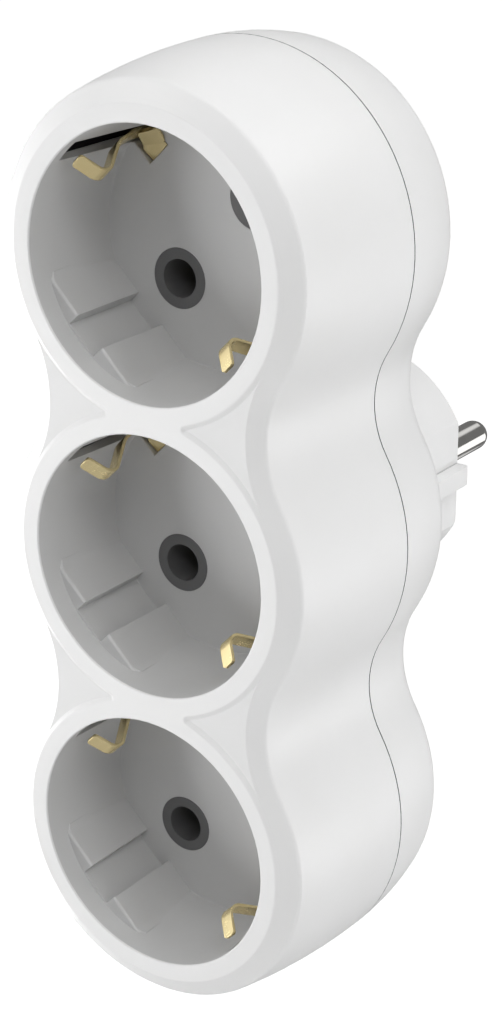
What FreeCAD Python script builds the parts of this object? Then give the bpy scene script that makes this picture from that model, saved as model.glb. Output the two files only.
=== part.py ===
import FreeCAD, Part
import math
import os

# Three-way socket adapter: a plug on the back and three earthed sockets in a row on the front.
# Millimetres, +Z up. The origin is the middle of the plug's face, between its two pins, and +Y
# points from there towards the wall. Depths below are counted from the front rings towards the wall.

# Driving sizes of the casing
WELL_GAP = 4.59             # between two wells
PLUG_LENGTH = 17.9          # from the flat back to the plug's face
WALL = 2.0                  # wall of both covers and of the plug
RING_WIDTH = 2.71           # the flat ring round each well
SPANDREL_DEPTH = 0.4        # how far the flats between the rings lie behind them
BEVEL_DEPTH = 1.9           # where the bevel meets the barrel-shaped side
BEVEL_WIDTH = 3.08
BULGE = 2.28                # how much further out the side is at the parting line
BEVEL_EDGE_ROUND = 0.8
RING_EDGE_ROUND = 0.5
MOUTH_EDGE_ROUND = 0.15
PARTING = 25.75             # where the two covers meet, at the widest section
BACK_ARC = 50.0             # the side's curve behind the parting line
BACK_ROUND = 6.0            # rounding into the flat back
REAR_ROOM = 1.05            # between the rails and the back wall
NECK_R = 14.98              # hollow round of a neck at the parting line
RING_NECK_R = 0.05          # small round where two rings join
FRONT_WALL = 3.0            # depth at which the hollow behind the front begins
GROOVE = 0.1                # half of the line between the covers
GROOVE_SINK = 0.5
LIP_LENGTH = 1.5            # tongue of the back cover inside the front one
LIP_WALL = 0.95
FIT = 0.1                   # between plastic pieces that slide together

# Driving sizes of a well and its insert
WELL_R = 19.75
WELL_DRAFT = 0.45           # how much narrower a well is at its floor
WELL_DEPTH = 18.0
WELL_CORNER = 0.15
RING_LIP = 0.3              # the white lip in front of the insert
INSERT_WALL = 0.9
INSERT_FLOOR = 2.4
COLLAR_WALL = 1.35
COLLAR_PAST = 1.5           # how far the front cover's collar reaches past the well's floor
KEY_IN = 2.65               # the flats at both ends of the pin line, in from the wall
KEY_START = 3.7
KEY_ROUND = 0.45
KEY_BLEND = 3.0             # hollow round from a flat into the wall
KEY_GROOVE = 5.9

# Driving sizes of pins and contacts
PIN_SPACING = 19.0
PIN_R = 2.4
PIN_LENGTH = 19.0
HOLE_R = 2.88               # hole that a plug's pin goes through
BUSH_R = 4.48               # ring round that hole, flush with the floor
PRESS = 0.05                # between a bush, pin or screw and its hole
BUSH_DEPTH = 3.5            # the carrier plate behind the floor
TUBE_R = 4.2
CONTACT_R = 2.95
CONTACT_SET_BACK = 2.0      # from the bush to the contact's mouth
CONTACT_GRIP_R = 2.35
CONTACT_SLIT = 0.8
CONTACT_FOOT = 0.6
PIN_END_ROOM = 0.2
RAIL = 0.8                  # thickness of the three rails
RAIL_WIDTH = 3.4
RAIL_EYE_R = 3.2
PIN_TAIL_R = 1.5
PIN_TAIL_HEAD_R = 2.2
PIN_TAIL_HEAD = 0.5
PIN_SHOULDER = 0.2          # how much thicker the pin is inside the plug
PIN_FLANGE_R = 3.4
PIN_FLANGE = 1.25

# Driving sizes of the earth parts
EARTH_SHEET = 0.5
EARTH_RAIL_WIDTH = 4.0
EARTH_RAIL_END = 3.5
RIVET_R = 1.1
RIVET_HEAD_R = 1.9
RIVET_HEAD = 0.6
SLOT_START = 1.95
SLOT_WIDTH = 4.2            # the clip's slot in the wall
GUARD_SIDE = 0.7            # dark trough of the carrier behind each slot: its sides
GUARD_BACK = 0.7            # and its back
GUARD_START = 2.6
GUARD_ROOM = 2.6            # how far out past the wall the clip may spring
MOUTH_SIDES = (-1.7, 2.7)   # the opening in the floor, across it
MOUTH_IN = 4.8              # its inner edge, in from the wall
MOUTH_CHAMFER = 0.15
CLIP_WIDTH = 2.3
CLIP_TIP_ROUND = 0.5
CLIP_FACE = [(1.85, 2.25), (6.05, 5.15), (1.65, 11.65), (0.65, 16.2)]  # in from the wall, depth
CLIP_BENDS = [2.2, 4.0, 5.0, 0.4]
TONGUE_FOLD_IN = 2.76       # the slanted fold where it crosses the clip's middle, in from the wall
TONGUE_FOLD_ANGLE = 32.7
TONGUE_FOLD_SINK = 0.1      # the fold lies this far behind the well's floor
TONGUE_FALL = 0.35          # slope from the fold down into the opening
TONGUE_RISE = 0.66          # slope from the fold up to the clip
TONGUE_LEFT = [(0.5, 0.8), (-0.85, 2.25), (-1.35, 2.55)]  # across, in from the wall
TONGUE_RIGHT = (4.0, 2.55)

# Driving sizes of the plug
PLUG_R = 18.43
PLUG_FLAT = 16.3
PLUG_RIB = 3.1
PLUG_FACE_WALL = 3.5
PLUG_FACE_ROUND = 0.6
PLUG_FLANGE = 1.4           # collar that holds the plug behind the back wall
PLUG_FLANGE_DEPTH = 0.9
EARTH_RECESS = 9.0
EARTH_RECESS_FLOOR = 16.2
EARTH_STRIP_WIDTH = 7.2
EARTH_STRIP_END = 1.6
PIN_BLOCK_HEIGHT = 10.0

# Driving sizes of the cover screws
SCREW_X = 12.5
SCREW_R = 1.45
SCREW_TIP = 14.0
SCREW_HEAD_R = 2.6
SCREW_HEAD = 2.2
SCREW_HEAD_ROOM = 0.2
SCREW_HEAD_SINK = 2.25
SCREW_CROSS = (0.8, 3.4, 1.0)
BOSS_WALL = 1.7
POST_WALL = 1.0

# Worked out from the sizes above
PITCH = 2 * WELL_R + WELL_GAP
WELLS = {"top": PITCH, "middle": 0.0, "bottom": -PITCH}
WELL_TURN = -45.0
WELL_FLOOR_R = WELL_R - WELL_DRAFT
RING_R = WELL_R + RING_WIDTH
BELLY_R = RING_R + BEVEL_WIDTH + BULGE
BARREL_ARC = ((PARTING - BEVEL_DEPTH) ** 2 + BULGE ** 2) / (2 * BULGE)
NECK_SUM = BELLY_R + NECK_R
KEY_FLAT = WELL_R - KEY_IN
INSERT_R = WELL_R + INSERT_WALL
INSERT_BACK = WELL_DEPTH + INSERT_FLOOR
COLLAR_END = WELL_DEPTH + COLLAR_PAST
CARRIER_BACK = INSERT_BACK + BUSH_DEPTH
CARRIER_R = WELL_FLOOR_R - 4 * FIT
CLIP_LINE = [(WELL_R - into, depth) for into, depth in CLIP_FACE]
MOUTH_START = WELL_R - MOUTH_IN
PIN_REACH = WELL_DEPTH + PIN_LENGTH
RAIL_FRONT = PIN_REACH + PIN_END_ROOM + CONTACT_FOOT
RAIL_BACK = RAIL_FRONT + RAIL
INNER_BACK = RAIL_BACK + REAR_ROOM
BACK_FACE = INNER_BACK + WALL
PLUG_FACE = BACK_FACE + PLUG_LENGTH
PLUG_INNER_FACE = PLUG_FACE - PLUG_FACE_WALL
FLANGE_FRONT = PLUG_INNER_FACE - PIN_FLANGE
PIN_X = PIN_SPACING / 2
CONTACT_XZ = PIN_X * math.cos(math.radians(WELL_TURN))
SCREW_Z = PITCH / 2
SCREW_SEAT = BACK_FACE - SCREW_HEAD_SINK - SCREW_HEAD


def y_at(depth):
    """Y of a depth behind the front rings."""
    return depth - PLUG_FACE


def vec(x, depth, z):
    return FreeCAD.Vector(x, y_at(depth), z)


def block(x0, x1, depth0, depth1, z0, z1):
    """Box between two depths."""
    return Part.makeBox(x1 - x0, depth1 - depth0, z1 - z0, vec(x0, depth0, z0))


def rod(radius, depth0, depth1, x=0.0, z=0.0):
    """Cylinder along Y between two depths."""
    return Part.makeCylinder(radius, depth1 - depth0, vec(x, depth0, z), FreeCAD.Vector(0, 1, 0))


def outline(place, start, steps):
    """Flat face in (r, depth). A step is the end of a line, or (point on the arc, its end)."""
    edges = []
    here = start
    for step in steps + [start]:
        if isinstance(step[0], tuple):
            via, end = step
            edges.append(Part.Arc(place(here), place(via), place(end)).toShape())
        else:
            end = step
            edges.append(Part.LineSegment(place(here), place(end)).toShape())
        here = end
    return Part.Face(Part.Wire(edges))


def turned(start, steps, x=0.0, z=0.0, begin=0.0, sweep=360.0):
    """Solid turned about a line along Y, from the angle begin, counted from +X towards +Z."""
    across = math.cos(math.radians(begin))
    up = math.sin(math.radians(begin))
    flat = outline(lambda p: vec(x + p[0] * across, p[1], z + p[0] * up), start, steps)
    return flat.revolve(vec(x, 0, z), FreeCAD.Vector(0, -1, 0), sweep)


def joined(pieces):
    """One clean solid from pieces that touch or overlap."""
    return pieces[0].fuse(pieces[1:]).removeSplitter()


def lobed(start, steps, neck_sum):
    """Three lobes and two necks whose edge follows one profile (r, depth) all the way round.

    A neck is a hollow round about its own centre, tangent to both lobes: its radius and the
    lobe's add up to neck_sum at every depth.
    """
    first = start[1]
    last = steps[-1][1][1] if isinstance(steps[-1][0], tuple) else steps[-1][1]
    neck_x = math.sqrt(neck_sum ** 2 - (PITCH / 2) ** 2)
    neck_angle = math.degrees(math.atan2(PITCH / 2, neck_x))

    def wedge(z, begin, sweep):
        return turned((0, first), [start] + steps + [(0, last)], z=z, begin=begin, sweep=sweep)

    def opposite(point):
        return (neck_sum - point[0], point[1])

    def hollow(x, z):
        turned_steps = [tuple(opposite(p) for p in s) if isinstance(s[0], tuple) else opposite(s)
                        for s in steps]
        return turned((0, first), [opposite(start)] + turned_steps + [(0, last)], x=x, z=z)

    pieces = [wedge(PITCH, -neck_angle, 180 + 2 * neck_angle),
              wedge(-PITCH, 180 - neck_angle, 180 + 2 * neck_angle),
              wedge(0, -neck_angle, 2 * neck_angle),
              wedge(0, 180 - neck_angle, 2 * neck_angle)]
    for z in (PITCH / 2, -PITCH / 2):
        corners = [(0, z - PITCH / 2), (neck_x, z), (0, z + PITCH / 2), (-neck_x, z)]
        points = [vec(x, first, corner_z) for x, corner_z in corners]
        diamond = Part.Face(Part.makePolygon(points + points[:1]))
        neck = diamond.extrude(FreeCAD.Vector(0, last - first, 0))
        pieces.append(neck.cut([hollow(neck_x, z), hollow(-neck_x, z)]))
    return joined(pieces)


def barrel(depth, inside=0.0):
    """Lobe radius in front of the parting line, less a wall."""
    arc = BARREL_ARC - inside
    return BELLY_R - BARREL_ARC + math.sqrt(arc ** 2 - (depth - PARTING) ** 2)


def barrel_arc(depth0, depth1, inside=0.0):
    middle = (depth0 + depth1) / 2
    return ((barrel(middle, inside), middle), (barrel(depth1, inside), depth1))


def back_side(depth, inside=0.0):
    """Lobe radius behind the parting line, less a wall."""
    arc = BACK_ARC - inside
    return BELLY_R - BACK_ARC + math.sqrt(arc ** 2 - (depth - PARTING) ** 2)


def back_steps(depth0, inside=0.0):
    """From the side at depth0 round to the flat back."""
    round_depth = BACK_FACE - BACK_ROUND
    reach = BACK_ARC - BACK_ROUND
    tilt = math.asin((round_depth - PARTING) / reach)
    round_r = BELLY_R - BACK_ARC + reach * math.cos(tilt)
    small = BACK_ROUND - inside
    half = (tilt + math.pi / 2) / 2
    middle = (depth0 + PARTING + (BACK_ARC - inside) * math.sin(tilt)) / 2
    return [((back_side(middle, inside), middle),
             (round_r + small * math.cos(tilt), round_depth + small * math.sin(tilt))),
            ((round_r + small * math.cos(half), round_depth + small * math.sin(half)),
             (round_r, round_depth + small))]


def on_pin_line(shape, z):
    """Turn a piece built with its pins along X onto the slanted pin line, and set it in a well."""
    turned_shape = shape.copy()
    turned_shape.rotate(FreeCAD.Vector(0, 0, 0), FreeCAD.Vector(0, 1, 0), WELL_TURN)
    turned_shape.translate(FreeCAD.Vector(0, 0, z))
    return turned_shape


def both_ways(shape):
    """A piece and its mirror image across the pin line."""
    return [shape, shape.mirror(FreeCAD.Vector(0, 0, 0), FreeCAD.Vector(0, 0, 1))]


def bend(corner, before, after, radius):
    """Where a line turns with a radius: the start, middle, end and centre of the arc."""
    back = (before - corner).normalize()
    ahead = (after - corner).normalize()
    half = back.getAngle(ahead) / 2
    middle_way = (back + ahead).normalize()
    centre = corner + middle_way * (radius / math.sin(half))
    tangent = radius / math.tan(half)
    return corner + back * tangent, centre - middle_way * radius, corner + ahead * tangent, centre


def bent_sheet(face, radii, sides, thickness):
    """Sheet of one thickness whose front face follows the points (z, depth), across sides in X."""
    x0, x1 = sides
    points = [vec(x0, depth, z) for z, depth in face]
    front = []
    rear = []
    here = points[0]
    here_rear = None
    across = FreeCAD.Vector(1, 0, 0)
    for index, radius in enumerate(radii + [None]):
        heading = (points[index + 1] - points[index]).normalize()
        outward = across.cross(heading) * thickness
        if index == 0:
            here_rear = here + outward
            first_rear = here_rear
        if radius is None:
            front.append(Part.LineSegment(here, points[-1]).toShape())
            rear.append(Part.LineSegment(here_rear, points[-1] + outward).toShape())
            end_cap = Part.LineSegment(points[-1], points[-1] + outward).toShape()
            break
        arc = bend(points[index + 1], points[index], points[index + 2], radius)
        inside_turn = (arc[3] - arc[0]).dot(outward) > 0
        scale = (radius - thickness) / radius if inside_turn else (radius + thickness) / radius
        shifted = [arc[3] + (p - arc[3]) * scale for p in arc[:3]]
        front.append(Part.LineSegment(here, arc[0]).toShape())
        front.append(Part.Arc(*arc[:3]).toShape())
        rear.append(Part.LineSegment(here_rear, shifted[0]).toShape())
        rear.append(Part.Arc(*shifted).toShape())
        here = arc[2]
        here_rear = shifted[2]
    start_cap = Part.LineSegment(first_rear, points[0]).toShape()
    ring = Part.Wire(Part.__sortEdges__(front + [end_cap] + rear + [start_cap]))
    return Part.Face(ring).extrude(FreeCAD.Vector(x1 - x0, 0, 0))


def front_cover():
    """White front shell: rings, bevel and barrel side, with a collar behind each well."""
    slope = (barrel(BEVEL_DEPTH) - RING_R) / BEVEL_DEPTH
    lean = math.hypot(slope, 1)
    edge_cut = RING_EDGE_ROUND * math.tan(math.atan(1 / slope) / 2)
    turn = math.atan(slope) - math.asin((PARTING - BEVEL_DEPTH) / BARREL_ARC)
    bevel_cut = BEVEL_EDGE_ROUND * math.tan(turn / 2)
    shoulder = barrel(BEVEL_DEPTH)
    before = (shoulder - bevel_cut * slope / lean, BEVEL_DEPTH - bevel_cut / lean)
    after_depth = BEVEL_DEPTH + bevel_cut
    after = (barrel(after_depth), after_depth)
    bulge = BEVEL_EDGE_ROUND * (1 - math.cos(turn / 2))
    between = ((before[0] + after[0]) / 2 + bulge * math.cos(turn / 2),
               (before[1] + after[1]) / 2 - bulge * math.sin(turn / 2))
    bevel_start = (RING_R + slope * SPANDREL_DEPTH, SPANDREL_DEPTH)
    groove_depth = PARTING - GROOVE
    land = barrel(PARTING) - GROOVE_SINK
    outside = lobed(bevel_start, [before, (between, after), barrel_arc(after_depth, groove_depth),
                                  (land, groove_depth), (land, PARTING)], NECK_SUM)
    ring_edge = (RING_R + edge_cut * slope / lean, edge_cut / lean)
    ring_middle = (RING_R, edge_cut / lean / 4)
    rings = lobed((RING_R - edge_cut, 0), [(ring_middle, ring_edge), bevel_start],
                  bevel_start[0] + RING_NECK_R)
    rebate = PARTING - LIP_LENGTH - FIT
    lip_side = WALL - LIP_WALL - FIT / 2
    hollow = lobed((barrel(FRONT_WALL, WALL), FRONT_WALL),
                   [barrel_arc(FRONT_WALL, rebate, WALL), (barrel(rebate, lip_side), rebate),
                    barrel_arc(rebate, PARTING, lip_side)], NECK_SUM)
    collars = []
    wells = []
    pockets = []
    seat_end = RING_LIP + INSERT_WALL + FIT
    pocket_side = SLOT_WIDTH / 2 + GUARD_SIDE + FIT
    pocket = block(-pocket_side, pocket_side, SLOT_START, COLLAR_END + FIT, WELL_R + FIT,
                   WELL_R + GUARD_ROOM + GUARD_BACK + FIT)
    for z in WELLS.values():
        collars.append(rod(INSERT_R + FIT + COLLAR_WALL, FRONT_WALL - FIT, COLLAR_END, z=z))
        wells.append(turned((0, -1), [(WELL_R + MOUTH_EDGE_ROUND, -1), (WELL_R + MOUTH_EDGE_ROUND, 0),
                                      (WELL_R, MOUTH_EDGE_ROUND), (WELL_R, RING_LIP),
                                      (INSERT_R + FIT, seat_end), (INSERT_R + FIT, PARTING),
                                      (0, PARTING)], z=z))
        pockets += [on_pin_line(side, z) for side in both_ways(pocket)]
    bosses = [rod(SCREW_R + BOSS_WALL, FRONT_WALL - FIT, PARTING, x, z)
              for x in (SCREW_X, -SCREW_X) for z in (SCREW_Z, -SCREW_Z)]
    pilots = [rod(SCREW_R + PRESS, SCREW_TIP - SCREW_HEAD_ROOM, PARTING, x, z)
              for x in (SCREW_X, -SCREW_X) for z in (SCREW_Z, -SCREW_Z)]
    shell = joined([outside, rings]).cut(hollow)
    return joined([shell] + collars + bosses).cut(wells + pockets + pilots).removeSplitter()


def plug_shell():
    """Round plug with two ribbed flats and two earth recesses. Its collar lies inside the back wall."""
    body = rod(PLUG_R, INNER_BACK, PLUG_FACE)
    rim = [edge for edge in body.Edges if abs(edge.BoundBox.YMin - y_at(PLUG_FACE)) < 1e-6
           and abs(edge.BoundBox.YMax - y_at(PLUG_FACE)) < 1e-6]
    body = body.makeFillet(PLUG_FACE_ROUND, rim)
    collar = rod(PLUG_R + PLUG_FLANGE, INNER_BACK - PLUG_FLANGE_DEPTH, INNER_BACK)
    room_r = PLUG_R - WALL
    room_x = PLUG_FLAT - WALL
    room_z = EARTH_RECESS_FLOOR - WALL
    room = rod(room_r, RAIL_BACK, PLUG_INNER_FACE).common(
        block(-room_x, room_x, RAIL_BACK, PLUG_INNER_FACE, -room_z, room_z))
    cuts = [room]
    strip_room = EARTH_STRIP_WIDTH / 2 + FIT
    for side in (1, -1):
        low, high = sorted((side * PLUG_FLAT, side * (PLUG_R + 1)))
        cuts.append(block(low, high, BACK_FACE, PLUG_FACE + 1, PLUG_RIB / 2, PLUG_R))
        cuts.append(block(low, high, BACK_FACE, PLUG_FACE + 1, -PLUG_R, -PLUG_RIB / 2))
        low, high = sorted((side * EARTH_RECESS_FLOOR, side * (PLUG_R + 1)))
        cuts.append(block(-EARTH_RECESS / 2, EARTH_RECESS / 2, BACK_FACE, PLUG_FACE + 1, low, high))
        low, high = sorted((side * EARTH_RECESS_FLOOR, side * (EARTH_RECESS_FLOOR + EARTH_SHEET + FIT)))
        cuts.append(block(-strip_room, strip_room, RAIL_BACK, BACK_FACE + 1, low, high))
        cuts.append(rod(PIN_R + PIN_SHOULDER + PRESS, PLUG_INNER_FACE - 1, PLUG_FACE + 1, side * PIN_X))
    return joined([body, collar]).cut(cuts).removeSplitter()


def back_cover():
    """White back shell with a round hole for the plug, screw posts and seats for the rails."""
    groove_depth = PARTING + GROOVE
    land = back_side(PARTING) - GROOVE_SINK
    outside = lobed((land, PARTING), [(land, groove_depth), (back_side(groove_depth), groove_depth)]
                    + back_steps(groove_depth), NECK_SUM)
    hollow = lobed((back_side(PARTING, WALL), PARTING), back_steps(PARTING, WALL), NECK_SUM)
    lip_start = PARTING - LIP_LENGTH
    tongue = lobed((barrel(lip_start, WALL - LIP_WALL), lip_start),
                   [barrel_arc(lip_start, PARTING, WALL - LIP_WALL)], NECK_SUM)
    tongue_hollow = lobed((barrel(lip_start, WALL), lip_start),
                          [barrel_arc(lip_start, PARTING, WALL)], NECK_SUM)
    posts = []
    drilled = [rod(PLUG_R + FIT, INNER_BACK - 1, BACK_FACE + 1)]
    for x in (SCREW_X, -SCREW_X):
        for z in (SCREW_Z, -SCREW_Z):
            posts.append(rod(SCREW_HEAD_R + SCREW_HEAD_ROOM + POST_WALL, PARTING, INNER_BACK + FIT, x, z))
            drilled.append(rod(SCREW_R + FIT, PARTING - 1, SCREW_SEAT + 1, x, z))
            drilled.append(rod(SCREW_HEAD_R + SCREW_HEAD_ROOM, SCREW_SEAT, BACK_FACE + 1, x, z))
    seats = []
    for z in (PITCH, -PITCH):
        for side in (1, -1):
            seats.append(rod(CONTACT_R, RAIL_BACK, INNER_BACK + FIT, side * CONTACT_XZ,
                             z + side * CONTACT_XZ))
    shell = joined([outside.cut(hollow), tongue.cut(tongue_hollow)])
    return joined([shell] + posts + seats).cut(drilled).removeSplitter()


def key_flat():
    """Flat at one end of the pin line, with a rounded front edge and a hollow round into the wall."""
    inner = (WELL_R + WELL_FLOOR_R) / 2
    outer = WELL_R + INSERT_WALL / 2
    centre_x = KEY_FLAT - KEY_BLEND
    centre_z = math.sqrt((inner - KEY_BLEND) ** 2 - centre_x ** 2)
    angle = math.atan2(centre_z, centre_x)
    via = (centre_x + KEY_BLEND * math.cos(angle / 2), centre_z + KEY_BLEND * math.sin(angle / 2))
    end = (inner * math.cos(angle), inner * math.sin(angle))
    far = (outer * math.cos(angle), outer * math.sin(angle))
    flat = outline(lambda p: vec(p[0], KEY_START, p[1]), (KEY_FLAT, 0),
                   [(KEY_FLAT, centre_z), (via, end), far, ((outer, 0), (far[0], -far[1])),
                    (end[0], -end[1]), ((via[0], -via[1]), (KEY_FLAT, -centre_z))])
    key = flat.extrude(FreeCAD.Vector(0, WELL_DEPTH + FIT - KEY_START, 0))
    slant = KEY_ROUND * (1 - math.cos(math.pi / 4))
    round_end = KEY_START + KEY_ROUND
    front = outline(lambda p: vec(p[0], p[1], -inner), (centre_x, round_end + KEY_BLEND),
                    [(KEY_FLAT, round_end),
                     ((KEY_FLAT + slant, KEY_START + slant), (KEY_FLAT + KEY_ROUND, KEY_START)),
                     (KEY_FLAT + KEY_ROUND, KEY_START - 1), (centre_x, KEY_START - 1)])
    return key.cut(front.extrude(FreeCAD.Vector(0, 0, 2 * inner)))


def socket_insert(z):
    """Grey lining of one well, with the flats and grooves at both ends of the pin line."""
    seat_end = RING_LIP + INSERT_WALL
    corner_r = WELL_FLOOR_R - WELL_CORNER
    corner_depth = WELL_DEPTH - WELL_CORNER
    on_corner = (corner_r + WELL_CORNER * math.cos(math.pi / 4),
                 corner_depth + WELL_CORNER * math.sin(math.pi / 4))
    cup = turned((WELL_R, RING_LIP), [(INSERT_R, seat_end), (INSERT_R, INSERT_BACK), (0, INSERT_BACK),
                                      (0, WELL_DEPTH), (corner_r, WELL_DEPTH),
                                      (on_corner, (WELL_FLOOR_R, corner_depth))])
    groove = block(0, WELL_FLOOR_R - FIT, KEY_START - 1, WELL_DEPTH, -KEY_GROOVE / 2, KEY_GROOVE / 2)
    key = key_flat().cut(groove)
    keys = [key, key.mirror(FreeCAD.Vector(0, 0, 0), FreeCAD.Vector(1, 0, 0))]
    slot = block(-SLOT_WIDTH / 2, SLOT_WIDTH / 2, SLOT_START, INSERT_BACK + 1, CLIP_LINE[-1][0] - FIT,
                 INSERT_R + 1)
    mouth = block(MOUTH_SIDES[0], MOUTH_SIDES[1], WELL_DEPTH, INSERT_BACK + 1, MOUTH_START, WELL_FLOOR_R)
    chamfer = Part.makeWedge(MOUTH_SIDES[0] - MOUTH_CHAMFER, y_at(WELL_DEPTH), MOUTH_START - MOUTH_CHAMFER,
                             MOUTH_START, MOUTH_SIDES[0],
                             MOUTH_SIDES[1] + MOUTH_CHAMFER, y_at(WELL_DEPTH + MOUTH_CHAMFER),
                             WELL_FLOOR_R - WELL_CORNER, WELL_FLOOR_R - WELL_CORNER, MOUTH_SIDES[1])
    cuts = []
    for piece in (slot, mouth, chamfer):
        cuts += both_ways(piece)
    for x in (PIN_X, -PIN_X):
        cuts.append(rod(BUSH_R + PRESS, WELL_DEPTH - 1, INSERT_BACK + 1, x))
    return on_pin_line(joined([cup] + keys).cut(cuts).removeSplitter(), z)


def contact_carrier(z):
    """Dark plate behind a well's floor: bushes and tubes for the contacts, a trough behind each slot."""
    plate = rod(CARRIER_R, INSERT_BACK, CARRIER_BACK)
    inside = SLOT_WIDTH / 2
    outside = inside + GUARD_SIDE
    room = WELL_R + GUARD_ROOM
    guard = block(-outside, outside, GUARD_START, CARRIER_BACK, INSERT_R + FIT, room + GUARD_BACK)
    foot_start = CARRIER_R - GUARD_BACK
    foot = block(-outside, outside, INSERT_BACK + FIT, CARRIER_BACK, foot_start, INSERT_R + 1)
    trough = block(-inside, inside, GUARD_START - 1, INSERT_BACK + EARTH_SHEET + FIT, foot_start - 1, room)
    guard = joined([guard, foot]).cut(trough)
    channel = block(MOUTH_SIDES[0], MOUTH_SIDES[1], INSERT_BACK, INSERT_BACK + EARTH_SHEET,
                    -CARRIER_R - 1, CARRIER_R + 1)
    pieces = [plate.cut([channel, rod(RIVET_R + PRESS, INSERT_BACK - 1, CARRIER_BACK + 1)])]
    pieces += both_ways(guard)
    bores = []
    for x in (PIN_X, -PIN_X):
        pieces.append(rod(BUSH_R, WELL_DEPTH, INSERT_BACK, x))
        pieces.append(rod(TUBE_R, CARRIER_BACK, RAIL_FRONT, x))
        bores.append(rod(HOLE_R, WELL_DEPTH - 1, CARRIER_BACK + 1, x))
        bores.append(rod(CONTACT_R + FIT, CARRIER_BACK, RAIL_FRONT + 1, x))
    return on_pin_line(joined(pieces).cut(bores).removeSplitter(), z)


def earth_tongue():
    """Folded tongue beside the clip: it rises out of the floor's opening, with a slanted fold."""
    fold = math.radians(TONGUE_FOLD_ANGLE)
    away = FreeCAD.Vector(math.sin(fold), 0, math.cos(fold))
    along = FreeCAD.Vector(math.cos(fold), 0, -math.sin(fold))
    fold_line = (WELL_R - TONGUE_FOLD_IN) * math.cos(fold)
    fold_depth = WELL_DEPTH + TONGUE_FOLD_SINK
    bottom = INSERT_BACK + EARTH_SHEET
    reach = INSERT_R / 2

    def under(sink):
        line = [(fold_line - reach, fold_depth + reach * TONGUE_FALL), (fold_line, fold_depth),
                (fold_line + reach, fold_depth - reach * TONGUE_RISE),
                (fold_line + reach, bottom + reach), (fold_line - reach, bottom + reach)]
        points = [away * q + FreeCAD.Vector(0, y_at(depth + sink), 0) for q, depth in line]
        flat = Part.Face(Part.makePolygon(points + points[:1]))
        flat.translate(along * -INSERT_R)
        return flat.extrude(along * (2 * INSERT_R))

    root = MOUTH_START + FIT
    right = MOUTH_SIDES[1] - 2 * FIT
    plan = TONGUE_LEFT + [(MOUTH_SIDES[0] + FIT, WELL_R - root), (right, WELL_R - root), TONGUE_RIGHT]
    points = [vec(x, WELL_DEPTH - reach, WELL_R - into) for x, into in plan]
    prism = Part.Face(Part.makePolygon(points + points[:1])).extrude(
        FreeCAD.Vector(0, bottom - WELL_DEPTH + reach, 0))
    inner = block(-INSERT_R, INSERT_R, WELL_DEPTH - reach, bottom + 1, root + EARTH_SHEET, INSERT_R)
    beside = block(MOUTH_SIDES[1] - FIT, INSERT_R, WELL_DEPTH - FIT, bottom + 1, 0, INSERT_R)
    return prism.common(under(0)).cut([under(EARTH_SHEET).common(inner), beside])


def earth_bracket(z):
    """One folded brass strip: two sprung clips in the well, joined under its floor."""
    half = CLIP_WIDTH / 2
    foot = [(CLIP_LINE[-1][0], INSERT_BACK), (0, INSERT_BACK)]
    clip = bent_sheet(CLIP_LINE + foot, CLIP_BENDS, (-half, half), EARTH_SHEET)
    tip_end = y_at(CLIP_LINE[0][1] + EARTH_SHEET)
    tips = [edge for edge in clip.Edges if edge.Length < EARTH_SHEET * 1.01
            and edge.BoundBox.Center.y < tip_end and edge.BoundBox.XLength < 1e-6]
    clip = clip.makeFillet(CLIP_TIP_ROUND, tips)
    root = MOUTH_START + FIT + EARTH_SHEET
    base = block(MOUTH_SIDES[0] + FIT, MOUTH_SIDES[1] - 2 * FIT, INSERT_BACK, INSERT_BACK + EARTH_SHEET,
                 -root, root)
    pieces = [base] + both_ways(clip) + both_ways(earth_tongue())
    hole = rod(RIVET_R, INSERT_BACK - 1, INSERT_BACK + EARTH_SHEET + 1)
    return on_pin_line(joined(pieces).cut(hole).removeSplitter(), z)


def socket_contact(side, z):
    """Turned brass cup with a slit mouth that grips a plug's pin. side is 1 for line, -1 for neutral."""
    start = CARRIER_BACK + CONTACT_SET_BACK
    bottom = RAIL_FRONT - CONTACT_FOOT
    flare = (CONTACT_R - CONTACT_GRIP_R) / 2
    cup = turned((CONTACT_R, start), [(CONTACT_R, RAIL_FRONT), (0, RAIL_FRONT), (0, bottom),
                                      (CONTACT_GRIP_R, bottom), (CONTACT_GRIP_R, start + flare),
                                      (CONTACT_GRIP_R + flare, start)], x=side * PIN_X)
    x = side * PIN_X
    slit = block(x - CONTACT_R, x + CONTACT_R, start - 1, bottom - CONTACT_R,
                 -CONTACT_SLIT / 2, CONTACT_SLIT / 2)
    return on_pin_line(cup.cut(slit), z)


def live_rail(side):
    """Brass rail behind one pole of the three sockets, with a tab to that pole's plug pin."""
    x = side * CONTACT_XZ
    ends = [z + side * CONTACT_XZ for z in WELLS.values()]
    strip = block(x - RAIL_WIDTH / 2, x + RAIL_WIDTH / 2, RAIL_FRONT, RAIL_BACK, min(ends), max(ends))
    eyes = [rod(RAIL_EYE_R, RAIL_FRONT, RAIL_BACK, x, z) for z in ends]
    eyes.append(rod(RAIL_EYE_R, RAIL_FRONT, RAIL_BACK, side * PIN_X))
    return joined([strip] + eyes).cut(
        rod(PIN_TAIL_R + PRESS, RAIL_FRONT - 1, RAIL_BACK + 1, side * PIN_X)).removeSplitter()


def earth_rail():
    """Brass rail behind the carriers, which joins the three earth brackets."""
    end = PITCH + EARTH_RAIL_END
    rail = block(-EARTH_RAIL_WIDTH / 2, EARTH_RAIL_WIDTH / 2, CARRIER_BACK, CARRIER_BACK + RAIL, -end, end)
    return rail.cut([rod(RIVET_R, CARRIER_BACK - 1, CARRIER_BACK + RAIL + 1, z=z) for z in WELLS.values()])


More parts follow.
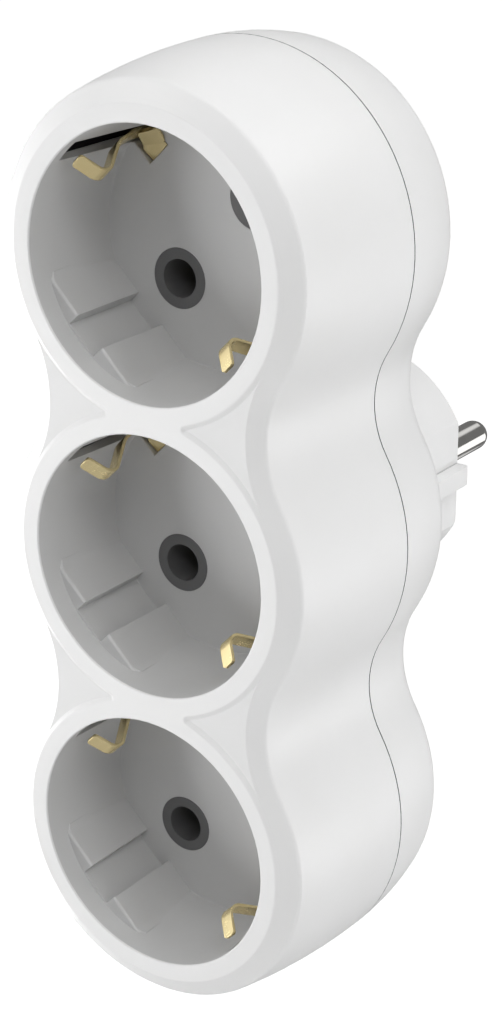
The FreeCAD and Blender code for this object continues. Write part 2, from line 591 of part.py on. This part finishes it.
def plug_earth_bracket():
    """Brass strip from the earth rail to the two side contacts of the plug."""
    front = CARRIER_BACK + RAIL
    inner = EARTH_RECESS_FLOOR
    outer = EARTH_RECESS_FLOOR + EARTH_SHEET
    half = EARTH_STRIP_WIDTH / 2
    narrow = EARTH_RAIL_WIDTH / 2
    pieces = [block(-narrow, narrow, front, front + EARTH_SHEET, -outer, outer)]
    for side in (1, -1):
        low, high = sorted((side * inner, side * outer))
        pieces.append(block(-half, half, front, PLUG_FACE - EARTH_STRIP_END, low, high))
        low, high = sorted((side * (inner - narrow), side * outer))
        pieces.append(block(-half, half, front, front + EARTH_SHEET, low, high))
    return joined(pieces).cut(rod(RIVET_R, front - 1, front + 1)).removeSplitter()


def earth_rivet(z):
    """Brass rivet that holds a bracket to the rail through its carrier."""
    end = CARRIER_BACK + RAIL
    if z == 0:
        end += EARTH_SHEET
    return joined([rod(RIVET_R, INSERT_BACK, end, z=z), rod(RIVET_HEAD_R, end, end + RIVET_HEAD, z=z)])


def plug_pin(side):
    """Nickel-plated pin with a round end, a flange behind the plug's face and a riveted tail."""
    tip = PLUG_FACE + PIN_LENGTH
    shank = PIN_R + PIN_SHOULDER
    slant = math.cos(math.pi / 4) * PIN_R
    return turned((0, RAIL_FRONT - PIN_TAIL_HEAD),
                  [(PIN_TAIL_HEAD_R, RAIL_FRONT - PIN_TAIL_HEAD), (PIN_TAIL_HEAD_R, RAIL_FRONT),
                   (PIN_TAIL_R, RAIL_FRONT), (PIN_TAIL_R, RAIL_BACK), (shank, RAIL_BACK),
                   (shank, FLANGE_FRONT), (PIN_FLANGE_R, FLANGE_FRONT), (PIN_FLANGE_R, PLUG_INNER_FACE),
                   (shank, PLUG_INNER_FACE), (shank, PLUG_FACE), (PIN_R, PLUG_FACE), (PIN_R, tip - PIN_R),
                   ((slant, tip - PIN_R + slant), (0, tip))], x=side * PIN_X)


def pin_block():
    """Block inside the plug that holds both pins square."""
    half = PLUG_FLAT - WALL - FIT
    body = block(-half, half, RAIL_BACK, FLANGE_FRONT, -PIN_BLOCK_HEIGHT / 2, PIN_BLOCK_HEIGHT / 2)
    bore = PIN_R + PIN_SHOULDER + PRESS
    return body.cut([rod(bore, RAIL_BACK - 1, FLANGE_FRONT + 1, x) for x in (PIN_X, -PIN_X)])


def cover_screw(x, z):
    """Cross-head screw from the back into a boss of the front cover."""
    top = SCREW_SEAT + SCREW_HEAD
    width, length, sink = SCREW_CROSS
    point = SCREW_R / 2
    shape = turned((0, SCREW_TIP), [(point, SCREW_TIP), (SCREW_R, SCREW_TIP + point), (SCREW_R, SCREW_SEAT),
                                    (SCREW_HEAD_R, SCREW_SEAT), (SCREW_HEAD_R, top - point),
                                    (SCREW_HEAD_R - point, top), (0, top)], x=x, z=z)
    cross = [block(x - length / 2, x + length / 2, top - sink, top + 1, z - width / 2, z + width / 2),
             block(x - width / 2, x + width / 2, top - sink, top + 1, z - length / 2, z + length / 2)]
    return shape.cut(cross)


def main():
    nodes = {"front_cover": front_cover(), "back_cover": back_cover(), "plug_shell": plug_shell(),
             "earth_rail": earth_rail(), "line_rail": live_rail(1), "neutral_rail": live_rail(-1),
             "pin_block": pin_block(),
             "line_pin": plug_pin(1), "neutral_pin": plug_pin(-1),
             "plug_earth_bracket": plug_earth_bracket()}
    for name, z in WELLS.items():
        nodes["socket_insert_" + name] = socket_insert(z)
        nodes["contact_carrier_" + name] = contact_carrier(z)
        nodes["earth_bracket_" + name] = earth_bracket(z)
        nodes["line_contact_" + name] = socket_contact(1, z)
        nodes["neutral_contact_" + name] = socket_contact(-1, z)
        nodes["earth_rivet_" + name] = earth_rivet(z)
    for height, z in (("upper", SCREW_Z), ("lower", -SCREW_Z)):
        for side, x in (("right", SCREW_X), ("left", -SCREW_X)):
            nodes["cover_screw_" + height + "_" + side] = cover_screw(x, z)
    os.makedirs("parts", exist_ok=True)
    for name, shape in nodes.items():
        shape.exportStep("parts/" + name + ".step")
        print(name, "solids", len(shape.Solids), "valid", shape.isValid(), "volume", round(shape.Volume, 2))


main()
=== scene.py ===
import math

import bmesh
import bpy
from mathutils import Matrix, Vector


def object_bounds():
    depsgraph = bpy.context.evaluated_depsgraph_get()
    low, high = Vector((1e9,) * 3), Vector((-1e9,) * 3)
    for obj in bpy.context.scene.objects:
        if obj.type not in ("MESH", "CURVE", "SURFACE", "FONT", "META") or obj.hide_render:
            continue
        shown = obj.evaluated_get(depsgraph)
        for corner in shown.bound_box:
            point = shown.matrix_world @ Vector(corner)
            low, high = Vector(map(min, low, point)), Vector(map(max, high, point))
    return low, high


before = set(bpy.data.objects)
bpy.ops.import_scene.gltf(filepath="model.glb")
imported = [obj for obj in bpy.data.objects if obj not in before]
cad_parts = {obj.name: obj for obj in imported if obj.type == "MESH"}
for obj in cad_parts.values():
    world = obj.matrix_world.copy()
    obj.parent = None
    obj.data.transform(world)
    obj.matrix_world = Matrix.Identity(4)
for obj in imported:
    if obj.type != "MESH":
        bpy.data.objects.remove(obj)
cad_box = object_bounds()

# The two white covers and the plug shell
# Smooth white plastic, moulded in polished steel. The covers are screwed together from behind and leave
# a fine seam, painted near black as the shade in its groove. The sunk flats of the front carry a little
# painted shade, the plug is painted darker as the shade of the body on it, and narrow crevices get
# painted shade.
WHITE = (0.862, 0.862, 0.862, 1)
WHITE_WARM = (0.849, 0.848, 0.845, 1)
# Painted shade: narrow crevices of the white mouldings are painted towards this dark grey.
WHITE_CREVICE_SHADE = (0.30, 0.30, 0.30, 1)
WHITE_SKIN = {"Grain per m": 2200.0, "Grain Depth": 0.000006, "Gloss Low": 0.38, "Gloss High": 0.46,
              "Edge Radius": 0.00012, "Crevice Reach": 0.0004, "Crevice Start": 0.5}
# Painted shade: the groove of the seam between the covers is painted near black.
SEAM_SHADE = (0.05, 0.05, 0.05, 1)
SEAM_Y = (-0.0339, -0.0337)
# Painted shade: the flats sunk between the rings are painted a little darker.
SUNK_FLAT_SHADE = (0.80, 0.80, 0.80, 1)
SUNK_Y = (-0.059154, -0.059146)
# Painted shade: the plug's white is painted darker than the covers' as the shade the body casts on it.
PLUG_SHADED_WHITE = (0.825, 0.825, 0.825, 1)
PLUG_SHADED_WARM = (0.812, 0.811, 0.808, 1)
# Painted shade in the plug's creases, darker and spreading further than on the covers.
PLUG_CREVICE_SHADE = (0.12, 0.12, 0.12, 1)
PLUG_SKIN = {**WHITE_SKIN, "Crevice Start": 0.9}
CLOUDS_PER_M = 55.0
CLOUD_DETAIL = 4.0
FLOW_PER_M = 320.0
FLOW_DETAIL = 5.0
GRAIN_DETAIL = 3.0
SKIN_GLOSS_SPREAD = (0.75, 1.25)
MOTTLE_SPREAD = (0.35, 0.65)
CREVICE_FULL = 0.1
EDGE_SAMPLES = 6
CREVICE_SAMPLES = 6


def new_sockets(group, direction, kind, *names):
    """Give a node group named inputs or outputs of one kind."""
    for name in names:
        group.interface.new_socket(name=name, in_out=direction, socket_type="NodeSocket" + kind)


def set_values(node, values):
    """Set the named inputs of a node."""
    for name, value in values.items():
        node.inputs[name].default_value = value


def varied_gloss(group, given, first, second, spread):
    """Roughness between the group's two gloss values, led by the sum of two textures."""
    both = group.nodes.new("ShaderNodeMath")
    both.operation = "ADD"
    group.links.new(first.outputs["Fac"], both.inputs[0])
    group.links.new(second.outputs["Fac"], both.inputs[1])
    gloss = group.nodes.new("ShaderNodeMapRange")
    set_values(gloss, {"From Min": spread[0], "From Max": spread[1]})
    group.links.new(both.outputs[0], gloss.inputs["Value"])
    group.links.new(given.outputs["Gloss Low"], gloss.inputs["To Min"])
    group.links.new(given.outputs["Gloss High"], gloss.inputs["To Max"])
    return gloss.outputs["Result"]


def fine_relief(group, given, depth, texture):
    """Normal of a texture's fine relief, laid over edges that are rounded a little."""
    edge = group.nodes.new("ShaderNodeBevel")
    edge.samples = EDGE_SAMPLES
    group.links.new(given.outputs["Edge Radius"], edge.inputs["Radius"])
    bump = group.nodes.new("ShaderNodeBump")
    group.links.new(given.outputs[depth], bump.inputs["Distance"])
    group.links.new(texture.outputs["Fac"], bump.inputs["Height"])
    group.links.new(edge.outputs["Normal"], bump.inputs["Normal"])
    return bump.outputs["Normal"]


def moulded_skin_group():
    """Skin of a moulding: masks for its mottle and its painted crevice shade, its gloss, and its normal."""
    group = bpy.data.node_groups.new("moulded_skin", "ShaderNodeTree")
    new_sockets(group, "INPUT", "Float", *WHITE_SKIN)
    new_sockets(group, "OUTPUT", "Float", "Mottle", "Crevice", "Roughness")
    new_sockets(group, "OUTPUT", "Vector", "Normal")
    nodes, links = group.nodes, group.links
    given = nodes.new("NodeGroupInput")
    out = nodes.new("NodeGroupOutput")
    place = nodes.new("ShaderNodeTexCoord")
    cloud = nodes.new("ShaderNodeTexNoise")
    set_values(cloud, {"Scale": CLOUDS_PER_M, "Detail": CLOUD_DETAIL})
    grain = nodes.new("ShaderNodeTexNoise")
    set_values(grain, {"Detail": GRAIN_DETAIL})
    links.new(given.outputs["Grain per m"], grain.inputs["Scale"])
    flow = nodes.new("ShaderNodeTexNoise")
    set_values(flow, {"Scale": FLOW_PER_M, "Detail": FLOW_DETAIL})
    for texture in (cloud, grain, flow):
        links.new(place.outputs["Object"], texture.inputs["Vector"])
    links.new(cloud.outputs["Fac"], out.inputs["Mottle"])
    links.new(varied_gloss(group, given, cloud, flow, SKIN_GLOSS_SPREAD), out.inputs["Roughness"])
    links.new(fine_relief(group, given, "Grain Depth", grain), out.inputs["Normal"])
    # Painted shade: the crevice mask rises where little open space is near, as in narrow crevices.
    open_sky = nodes.new("ShaderNodeAmbientOcclusion")
    open_sky.samples = CREVICE_SAMPLES
    links.new(given.outputs["Crevice Reach"], open_sky.inputs["Distance"])
    crevice = nodes.new("ShaderNodeMapRange")
    crevice.interpolation_type = "SMOOTHSTEP"
    set_values(crevice, {"From Max": CREVICE_FULL})
    links.new(given.outputs["Crevice Start"], crevice.inputs["From Min"])
    links.new(open_sky.outputs["AO"], crevice.inputs["Value"])
    links.new(crevice.outputs["Result"], out.inputs["Crevice"])
    return group


moulded_skin = moulded_skin_group()


def surfaced_material(name, surface, values):
    """New material with a shared surface group, set to its own values, for its gloss and normal."""
    material = bpy.data.materials.new(name)
    material.use_nodes = True
    tree = material.node_tree
    skin = tree.nodes.new("ShaderNodeGroup")
    skin.node_tree = surface
    set_values(skin, values)
    for socket in ("Roughness", "Normal"):
        tree.links.new(skin.outputs[socket], tree.nodes["Principled BSDF"].inputs[socket])
    return material, skin


def two_shades(tree, mask, spread, low, high):
    """Colour that goes from one shade to the other while the mask goes through the spread."""
    shade = tree.nodes.new("ShaderNodeValToRGB")
    for element, position, colour in zip(shade.color_ramp.elements, spread, (low, high)):
        element.position = position
        element.color = colour
    tree.links.new(mask, shade.inputs["Fac"])
    return shade.outputs["Color"]


def coloured_over(tree, below, colour, mask):
    """Colour that lies over the one below where the mask is full."""
    blend = tree.nodes.new("ShaderNodeMix")
    blend.data_type = "RGBA"
    blend.inputs["B"].default_value = colour
    tree.links.new(mask, blend.inputs["Factor"])
    tree.links.new(below, blend.inputs["A"])
    return blend.outputs["Result"]


def moulded_plastic(name, light, dark, crevice_shade, skin_values):
    """Plastic moulding: it drifts between two close shades and gets painted shade in narrow crevices."""
    material, skin = surfaced_material(name, moulded_skin, skin_values)
    tree = material.node_tree
    shade = two_shades(tree, skin.outputs["Mottle"], MOTTLE_SPREAD, dark, light)
    # Painted shade: the colour darkens in narrow crevices.
    crevice_shaded = coloured_over(tree, shade, crevice_shade, skin.outputs["Crevice"])
    tree.links.new(crevice_shaded, tree.nodes["Principled BSDF"].inputs["Base Color"])
    return material


def shade_between(material, axis, limits, colour):
    """Paint the surface between two object coordinates of one axis a colour; here it paints shade and
    light.
    """
    tree = material.node_tree
    place = tree.nodes.new("ShaderNodeTexCoord")
    axes = tree.nodes.new("ShaderNodeSeparateXYZ")
    tree.links.new(place.outputs["Object"], axes.inputs[0])
    inside = tree.nodes.new("ShaderNodeMath")
    inside.operation = "COMPARE"
    inside.inputs[1].default_value = (limits[0] + limits[1]) / 2
    inside.inputs[2].default_value = (limits[1] - limits[0]) / 2
    tree.links.new(axes.outputs[axis], inside.inputs[0])
    base = tree.nodes["Principled BSDF"].inputs["Base Color"]
    tree.links.new(coloured_over(tree, base.links[0].from_socket, colour, inside.outputs[0]), base)


def finish_nodes(names, material):
    """Give the named CAD nodes one material."""
    for name in names:
        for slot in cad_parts[name].material_slots:
            slot.material = material


white_moulding = moulded_plastic("white_moulding", WHITE, WHITE_WARM, WHITE_CREVICE_SHADE, WHITE_SKIN)
# Painted shade in the groove of the seam.
shade_between(white_moulding, "Y", SEAM_Y, SEAM_SHADE)
finish_nodes(["back_cover"], white_moulding)
front_moulding = white_moulding.copy()
front_moulding.name = "front_moulding"
# Painted shade on the sunk flats between the rings.
shade_between(front_moulding, "Y", SUNK_Y, SUNK_FLAT_SHADE)
finish_nodes(["front_cover"], front_moulding)
# The plug shell, painted darker as shade.
plug_moulding = moulded_plastic("plug_moulding", PLUG_SHADED_WHITE, PLUG_SHADED_WARM, PLUG_CREVICE_SHADE, PLUG_SKIN)
finish_nodes(["plug_shell"], plug_moulding)

# The grey well inserts
# Mid grey plastic cups pushed into the front cover from behind. Their grain is finer than that of the
# covers, and they carry the key flats and the slots of the earth clips.
WELLS = ("top", "middle", "bottom")
GREY = (0.63, 0.63, 0.63, 1)
GREY_DARK = (0.608, 0.608, 0.606, 1)
# Painted shade in the crevices of the inserts.
GREY_CREVICE_SHADE = (0.25, 0.25, 0.25, 1)
GREY_SKIN = {**WHITE_SKIN, "Grain per m": 3000.0, "Gloss Low": 0.38, "Gloss High": 0.47,
             "Edge Radius": 0.0001}

grey_moulding = moulded_plastic("grey_moulding", GREY, GREY_DARK, GREY_CREVICE_SHADE, GREY_SKIN)
finish_nodes(["socket_insert_" + well for well in WELLS], grey_moulding)

# The contact carriers and the pin block
# Dark heat-proof plastic with a matt skin. Its near black also serves as painted shade in the troughs
# behind the clips, where the slots are deep. A strip across the bushes has painted light: a paler grey
# where light reaches into the wells. The block inside the plug is of a paler grey and keeps its pins
# square.
# Near black, which also serves as painted shade in the troughs behind the clips.
DARK = (0.032, 0.032, 0.034, 1)
DARK_WORN = (0.026, 0.026, 0.028, 1)
# Painted shade in the crevices of the carriers.
DARK_CREVICE_SHADE = (0.012, 0.012, 0.012, 1)
DARK_SHEEN = 0.2
DARK_SKIN = {**WHITE_SKIN, "Grain per m": 3600.0, "Grain Depth": 0.00001, "Gloss Low": 0.40,
             "Gloss High": 0.52, "Edge Radius": 0.0001}
# Painted light: a paler grey in a strip across the bushes, where light reaches into the wells.
BUSH_LIT_GREY = (0.16, 0.16, 0.162, 1)
BUSH_LIT_X = (-0.0118, 0.0118)
BLOCK = (0.36, 0.36, 0.365, 1)
BLOCK_DARK = (0.34, 0.34, 0.345, 1)
BLOCK_SKIN = {**DARK_SKIN, "Grain per m": 3000.0, "Gloss Low": 0.45, "Gloss High": 0.55}

dark_moulding = moulded_plastic("dark_moulding", DARK, DARK_WORN, DARK_CREVICE_SHADE, DARK_SKIN)
set_values(dark_moulding.node_tree.nodes["Principled BSDF"], {"Specular IOR Level": DARK_SHEEN})
# Painted light on the bushes.
shade_between(dark_moulding, "X", BUSH_LIT_X, BUSH_LIT_GREY)
finish_nodes(["contact_carrier_" + well for well in WELLS], dark_moulding)
block_moulding = moulded_plastic("block_moulding", BLOCK, BLOCK_DARK, GREY_CREVICE_SHADE, BLOCK_SKIN)
finish_nodes(["pin_block"], block_moulding)

# The brass earth parts, contacts and rails
# Sheet brass, rolled, stamped and bent: fine lines along the strip, a slightly darker tone where it
# has been handled, and bright rounded edges from the tumbling barrel.
BRASS = (0.94, 0.79, 0.43, 1)
BRASS_TONED = (0.89, 0.73, 0.38, 1)
BRASS_METALLIC = 0.7
BRASS_WORK = {"Line Stretch": (1.0, 0.12, 1.0), "Lines per m": 9000.0, "Line Depth": 0.0000006,
              "Gloss Low": 0.20, "Gloss High": 0.28, "Edge Radius": 0.00016}
LINE_DETAIL = 2.0
PATCHES_PER_M = 260.0
PATCH_DETAIL = 4.0
WORK_GLOSS_SPREAD = (0.7, 1.3)
TONE_SPREAD = (0.36, 0.58)
BRASS_IN_WELLS = ("earth_bracket", "line_contact", "neutral_contact", "earth_rivet")
BRASS_IN_BODY = ("line_rail", "neutral_rail", "earth_rail", "plug_earth_bracket")


def worked_metal_group():
    """Surface of worked metal: tone patches, fine tool lines along one axis, and softened edges."""
    group = bpy.data.node_groups.new("worked_metal", "ShaderNodeTree")
    new_sockets(group, "INPUT", "Vector", "Line Stretch")
    new_sockets(group, "INPUT", "Float", "Lines per m", "Line Depth", "Gloss Low", "Gloss High",
                "Edge Radius")
    new_sockets(group, "OUTPUT", "Float", "Tone", "Roughness")
    new_sockets(group, "OUTPUT", "Vector", "Normal")
    nodes, links = group.nodes, group.links
    given = nodes.new("NodeGroupInput")
    out = nodes.new("NodeGroupOutput")
    place = nodes.new("ShaderNodeTexCoord")
    stretch = nodes.new("ShaderNodeVectorMath")
    stretch.operation = "MULTIPLY"
    links.new(place.outputs["Object"], stretch.inputs[0])
    links.new(given.outputs["Line Stretch"], stretch.inputs[1])
    lines = nodes.new("ShaderNodeTexNoise")
    set_values(lines, {"Detail": LINE_DETAIL})
    links.new(stretch.outputs[0], lines.inputs["Vector"])
    links.new(given.outputs["Lines per m"], lines.inputs["Scale"])
    patches = nodes.new("ShaderNodeTexNoise")
    set_values(patches, {"Scale": PATCHES_PER_M, "Detail": PATCH_DETAIL})
    links.new(place.outputs["Object"], patches.inputs["Vector"])
    links.new(patches.outputs["Fac"], out.inputs["Tone"])
    links.new(varied_gloss(group, given, lines, patches, WORK_GLOSS_SPREAD), out.inputs["Roughness"])
    links.new(fine_relief(group, given, "Line Depth", lines), out.inputs["Normal"])
    return group


worked_metal = worked_metal_group()


def metal(name, bright, toned, metallic, work_values):
    """Bare or plated metal whose tone drifts between two shades, with the lines of its making."""
    material, work = surfaced_material(name, worked_metal, work_values)
    tree = material.node_tree
    shader = tree.nodes["Principled BSDF"]
    shader.inputs["Metallic"].default_value = metallic
    tree.links.new(two_shades(tree, work.outputs["Tone"], TONE_SPREAD, toned, bright),
                   shader.inputs["Base Color"])
    return material


rolled_brass = metal("rolled_brass", BRASS, BRASS_TONED, BRASS_METALLIC, BRASS_WORK)
finish_nodes(BRASS_IN_BODY, rolled_brass)
for well in WELLS:
    finish_nodes([piece + "_" + well for piece in BRASS_IN_WELLS], rolled_brass)

# The plug's two pins
# Turned brass, plated with bright nickel. The turning leaves very fine rings round each pin, which
# catch the light as thin streaks.
NICKEL = (0.79, 0.78, 0.755, 1)
NICKEL_TONED = (0.75, 0.74, 0.715, 1)
NICKEL_METALLIC = 1.0
NICKEL_WORK = {"Line Stretch": (0.15, 1.0, 0.15), "Lines per m": 7000.0, "Line Depth": 0.0000003,
               "Gloss Low": 0.05, "Gloss High": 0.09, "Edge Radius": 0.0001}

bright_nickel = metal("bright_nickel", NICKEL, NICKEL_TONED, NICKEL_METALLIC, NICKEL_WORK)
finish_nodes(["line_pin", "neutral_pin"], bright_nickel)

# The four cover screws
# Zinc-plated steel with a cross recess, sunk in posts of the back cover and driven into the bosses of
# the front cover.
ZINC = (0.62, 0.63, 0.64, 1)
ZINC_TONED = (0.50, 0.51, 0.53, 1)
ZINC_METALLIC = 1.0
ZINC_WORK = {"Line Stretch": (1.0, 0.3, 1.0), "Lines per m": 8000.0, "Line Depth": 0.000002,
             "Gloss Low": 0.30, "Gloss High": 0.42, "Edge Radius": 0.0001}

zinc_steel = metal("zinc_steel", ZINC, ZINC_TONED, ZINC_METALLIC, ZINC_WORK)
for height in ("upper", "lower"):
    finish_nodes(["cover_screw_" + height + "_" + side for side in ("right", "left")], zinc_steel)

# The studio floor
# A pale matt floor below the adapter, nearly white to the camera and clear from below. Shiny surfaces
# see it pale in front and dim behind, and it keeps the adapter's shadow.
FLOOR_DROP = 0.45
FLOOR_SIZE = 8.0
FLOOR_COLOUR = (0.97, 0.97, 0.97, 1)
FLOOR_ROUGHNESS = 0.9
FLOOR_SHEEN = 0.1
FLOOR_GLOW = 1.5
FLOOR_GLOW_SHARE = 0.6
FLOOR_BRIGHT = 0.28
FLOOR_DIM = 0.1
FLOOR_DIM_SHARE = 0.85
FLOOR_FADE = (0.0, 0.4)


def share_of(tree, value, share):
    """A fixed share of a value."""
    part = tree.nodes.new("ShaderNodeMath")
    part.operation = "MULTIPLY"
    part.inputs[1].default_value = share
    tree.links.new(value, part.inputs[0])
    return part.outputs[0]


def blended_shaders(tree, share, first, second):
    """Mix of two shaders, in which the second has the given share."""
    blend = tree.nodes.new("ShaderNodeMixShader")
    for source, socket in zip((share, first, second), blend.inputs):
        tree.links.new(source, socket)
    return blend.outputs[0]


def faded_tone(tree, position, limits, tones):
    """Tone that goes from the first to the second while the position goes between its limits."""
    fade = tree.nodes.new("ShaderNodeMapRange")
    set_values(fade, {"From Min": limits[0], "From Max": limits[1], "To Min": tones[0], "To Max": tones[1]})
    tree.links.new(position, fade.inputs["Value"])
    return fade.outputs["Result"]


floor_shape = bmesh.new()
bmesh.ops.create_grid(floor_shape, x_segments=1, y_segments=1, size=FLOOR_SIZE / 2)
bmesh.ops.translate(floor_shape, verts=floor_shape.verts, vec=(0, 0, cad_box[0][2] - FLOOR_DROP))
floor_mesh = bpy.data.meshes.new("floor")
floor_shape.to_mesh(floor_mesh)
floor_shape.free()
floor = bpy.data.objects.new("floor", floor_mesh)
bpy.context.scene.collection.objects.link(floor)

floor_paint = bpy.data.materials.new("floor_paint")
floor_paint.use_nodes = True
tree = floor_paint.node_tree
paint = tree.nodes["Principled BSDF"]
set_values(paint, {"Base Color": FLOOR_COLOUR, "Roughness": FLOOR_ROUGHNESS,
                   "Specular IOR Level": FLOOR_SHEEN})
rays = tree.nodes.new("ShaderNodeLightPath")
glow = tree.nodes.new("ShaderNodeEmission")
set_values(glow, {"Strength": FLOOR_GLOW})
glow_share = share_of(tree, rays.outputs["Is Camera Ray"], FLOOR_GLOW_SHARE)
lit_floor = blended_shaders(tree, glow_share, paint.outputs[0], glow.outputs[0])
place = tree.nodes.new("ShaderNodeTexCoord")
spot = tree.nodes.new("ShaderNodeSeparateXYZ")
tree.links.new(place.outputs["Object"], spot.inputs[0])
dim = tree.nodes.new("ShaderNodeEmission")
tree.links.new(faded_tone(tree, spot.outputs["Y"], FLOOR_FADE, (FLOOR_BRIGHT, FLOOR_DIM)),
               dim.inputs["Strength"])
dim_share = share_of(tree, rays.outputs["Is Glossy Ray"], FLOOR_DIM_SHARE)
dimmed_floor = blended_shaders(tree, dim_share, lit_floor, dim.outputs[0])
side_seen = tree.nodes.new("ShaderNodeNewGeometry")
clear = tree.nodes.new("ShaderNodeBsdfTransparent")
one_sided = blended_shaders(tree, side_seen.outputs["Backfacing"], dimmed_floor, clear.outputs[0])
tree.links.new(one_sided, tree.nodes["Material Output"].inputs["Surface"])
floor_mesh.materials.append(floor_paint)

# Studio lamps
# Eight round soft lamps at one distance, each with its angle to the right of the front, its angle above
# the level, and its power. The strongest two stand low at the left, the others fill the shade.
LAMPS = {"left_low_lamp": (-90, -20, 6.0),
         "front_left_low_lamp": (-45, -20, 4.4),
         "front_left_high_lamp": (-45, 45, 1.9),
         "front_right_high_lamp": (45, 45, 2.3),
         "right_lamp": (80, 10, 1.95),
         "right_low_lamp": (115, -20, 2.3),
         "right_back_high_lamp": (135, 45, 1.9),
         "top_lamp": (0, 89, 2.75)}
LAMP_DISTANCE = 1.1
LAMP_SIZE = 0.5
AIM = Vector((0.0, -0.035, 0.0))

for lamp_name, (right, up, power) in LAMPS.items():
    lamp = bpy.data.lights.new(lamp_name, "AREA")
    lamp.shape = "DISK"
    lamp.size = LAMP_SIZE
    lamp.energy = power
    right, up = math.radians(right), math.radians(up)
    towards = Vector((math.cos(up) * math.sin(right), -math.cos(up) * math.cos(right), math.sin(up)))
    lamp_object = bpy.data.objects.new(lamp_name, lamp)
    lamp_object.location = AIM + LAMP_DISTANCE * towards
    lamp_object.rotation_euler = towards.to_track_quat("Z", "Y").to_euler()
    bpy.context.scene.collection.objects.link(lamp_object)

# Reflector cards
# Bright cards that only shiny surfaces see: two low behind for the pin's streaks, two at the left for
# the clips and the lower left edges. Each has its middle, half width and height, two turns, and tone.
CARDS = {"right_card": ((0.39, 0.5, -0.19), 0.2, 0.155, 26.0, 0.0, 1.35),
         "low_card": ((0.0, 0.5, -0.40), 0.13, 0.065, 0.0, 0.0, 0.7),
         "left_card": ((-0.8, -0.12, 0.09), 0.26, 0.17, 0.0, 90.0, 1.6),
         "left_low_card": ((-0.46, 0.2, -0.33), 0.25, 0.15, 0.0, 67.0, 3.5)}
QUARTER_TURN = 90.0

for card_name, (middle, half_width, half_height, tilt, turn, tone) in CARDS.items():
    card_shape = bmesh.new()
    bmesh.ops.create_grid(card_shape, x_segments=1, y_segments=1, size=1.0)
    bmesh.ops.scale(card_shape, verts=card_shape.verts, vec=(half_width, half_height, 1))
    for angle, axis in ((QUARTER_TURN, "X"), (tilt, "Y"), (turn, "Z")):
        bmesh.ops.rotate(card_shape, verts=card_shape.verts,
                         matrix=Matrix.Rotation(math.radians(angle), 3, axis))
    bmesh.ops.translate(card_shape, verts=card_shape.verts, vec=middle)
    card_mesh = bpy.data.meshes.new(card_name)
    card_shape.to_mesh(card_mesh)
    card_shape.free()
    card = bpy.data.objects.new(card_name, card_mesh)
    bpy.context.scene.collection.objects.link(card)
    card_paint = bpy.data.materials.new(card_name + "_paint")
    card_paint.use_nodes = True
    tree = card_paint.node_tree
    shine = tree.nodes.new("ShaderNodeEmission")
    set_values(shine, {"Strength": tone})
    tree.links.new(shine.outputs[0], tree.nodes["Material Output"].inputs["Surface"])
    card_mesh.materials.append(card_paint)
    card.visible_camera = False
    card.visible_diffuse = False
    card.visible_transmission = False
    card.visible_shadow = False

# The studio room
# White behind the adapter for the camera. Shiny surfaces see a bright ceiling, a middle tone in front
# and dark walls behind. The room's own light is even and weak.
ROOM_COLOUR = (1, 1, 1, 1)
ROOM_LIGHT = 0.32
BACKDROP_TONE = 1.0
CEILING_TONE = 0.85
CEILING_EDGE = (0.52, 0.56)
FRONT_TONE = 0.5
FRONT_EDGE = (0.2, -0.6)
WALL_TONE = 0.18

room = bpy.data.worlds.new("room")
room.use_nodes = True
bpy.context.scene.world = room
tree = room.node_tree
sky = tree.nodes["Background"]
set_values(sky, {"Color": ROOM_COLOUR})
place = tree.nodes.new("ShaderNodeTexCoord")
way = tree.nodes.new("ShaderNodeSeparateXYZ")
tree.links.new(place.outputs["Generated"], way.inputs[0])
reflected = tree.nodes.new("ShaderNodeMath")
reflected.operation = "MAXIMUM"
tree.links.new(faded_tone(tree, way.outputs["Z"], CEILING_EDGE, (WALL_TONE, CEILING_TONE)),
               reflected.inputs[0])
tree.links.new(faded_tone(tree, way.outputs["Y"], FRONT_EDGE, (WALL_TONE, FRONT_TONE)),
               reflected.inputs[1])
rays = tree.nodes.new("ShaderNodeLightPath")
shiny = tree.nodes.new("ShaderNodeMix")
set_values(shiny, {"A": ROOM_LIGHT})
tree.links.new(rays.outputs["Is Glossy Ray"], shiny.inputs["Factor"])
tree.links.new(reflected.outputs[0], shiny.inputs["B"])
level = tree.nodes.new("ShaderNodeMix")
set_values(level, {"B": BACKDROP_TONE})
tree.links.new(rays.outputs["Is Camera Ray"], level.inputs["Factor"])
tree.links.new(shiny.outputs["Result"], level.inputs["A"])
tree.links.new(level.outputs["Result"], sky.inputs["Strength"])
bpy.context.scene.view_settings.view_transform = "Standard"

# The camera
# To the right of the adapter and a little above, as in the photograph. It was worked out from the wells,
# their floors and their pin holes. The lens and the sensor are in millimetres.
CAMERA_AT = (0.1982, -0.31955, 0.1344)
CAMERA_AZIMUTH = 34.685
CAMERA_ELEVATION = 21.068
CAMERA_LENS = 87.39
CAMERA_SENSOR = 36.0
CAMERA_NEAR = 0.01

view = bpy.data.cameras.new("camera")
view.lens = CAMERA_LENS
view.sensor_width = CAMERA_SENSOR
view.clip_start = CAMERA_NEAR
camera = bpy.data.objects.new("camera", view)
camera.location = CAMERA_AT
camera.rotation_euler = (math.radians(QUARTER_TURN - CAMERA_ELEVATION), 0, math.radians(CAMERA_AZIMUTH))
bpy.context.scene.collection.objects.link(camera)
bpy.context.scene.camera = camera
